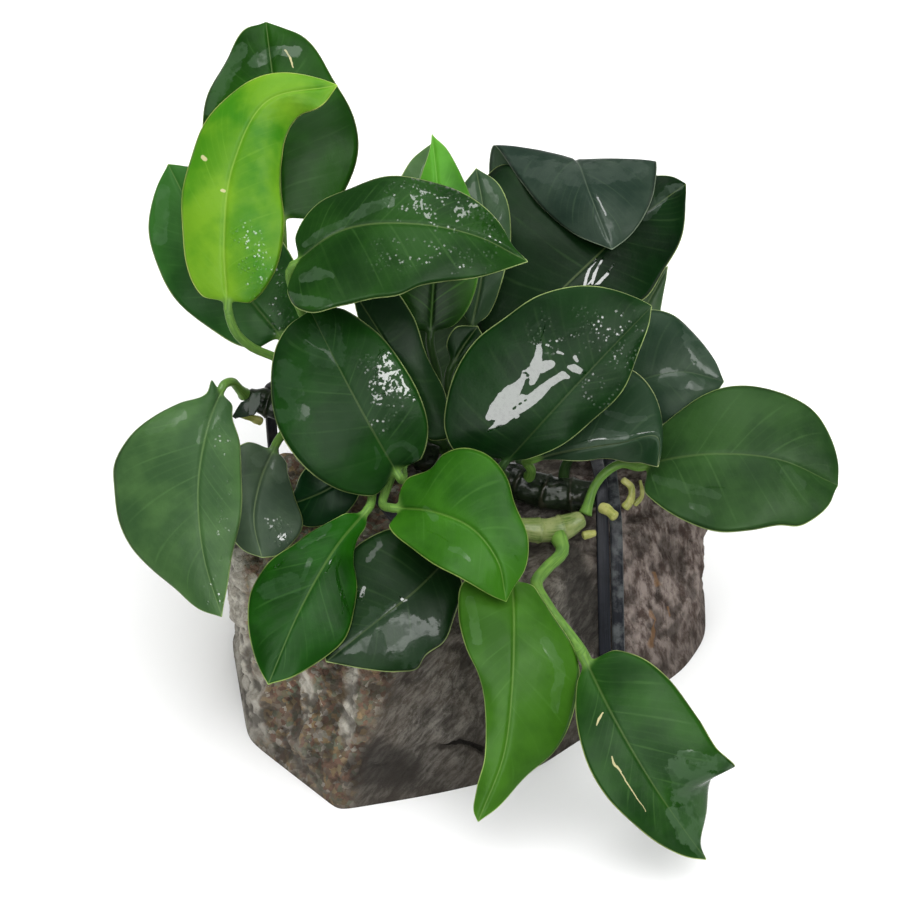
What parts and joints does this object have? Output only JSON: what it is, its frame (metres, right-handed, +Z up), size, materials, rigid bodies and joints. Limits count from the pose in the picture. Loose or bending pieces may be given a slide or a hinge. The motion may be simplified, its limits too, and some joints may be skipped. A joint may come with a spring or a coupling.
{
  "type": "anubias on stone",
  "caption": "Dwarf anubias plant with broad oval leaves on a creeping stem, tied with rubber bands to an angular stone that stands flat.",
  "frame": {"origin": "on the stone's flat underside, near its middle", "axes": "+X to the right and +Z up as the picture shows the plant, +Y away from the viewer"},
  "size_m": [0.1857, 0.1967, 0.1347],
  "materials": {
    "stone": "rough broken rock",
    "rhizome": "smooth living stem with ring scars",
    "shoot": "smooth pale living stem",
    "leaf_deep_green": "glossy, wet",
    "leaf_dark_green": "glossy, wet",
    "leaf_grey_green": "satin, wet",
    "leaf_bright_green": "satin, wet",
    "leaf_yellow_green": "satin, wet",
    "leaf_mid_green": "glossy, wet",
    "root": "smooth living root",
    "band": "matt black"
  },
  "bodies": {
    "root": {"stone": "stone", "rhizome": "rhizome", "rhizome_shoot": "shoot", "leaf_top_left_back": "leaf_deep_green", "leaf_yellow_green": "leaf_yellow_green", "leaf_far_left": "leaf_dark_green", "leaf_top_middle": "leaf_deep_green", "leaf_centre_left": "leaf_deep_green", "leaf_centre_right": "leaf_deep_green", "leaf_bright_centre": "leaf_bright_green", "leaf_front_left": "leaf_mid_green", "leaf_left": "leaf_mid_green", "leaf_grey_left": "leaf_grey_green", "leaf_dark_behind": "leaf_dark_green", "leaf_lower_middle": "leaf_deep_green", "leaf_front_hanging": "leaf_bright_green", "leaf_lower_right": "leaf_mid_green", "leaf_right": "leaf_mid_green", "leaf_folded_right": "leaf_grey_green", "leaf_right_back": "leaf_grey_green", "leaf_top_right_folded": "leaf_grey_green", "leaf_large_back": "leaf_dark_green", "leaf_sliver_right": "leaf_grey_green", "leaf_young_light": "leaf_bright_green", "leaf_grey_back_right": "leaf_grey_green", "leaf_grey_back_left": "leaf_mid_green", "leaf_small_round": "leaf_mid_green", "leaf_dark_inner": "leaf_dark_green", "root_blunt": "root", "root_short": "root", "root_curved": "root", "root_thin": "root", "old_stalk_stub": "root", "old_leaf_scrap": "leaf_dark_green", "rubber_band_right_inner": "band", "rubber_band_right_outer": "band", "rubber_band_left": "band"}
  },
  "joints": []
}
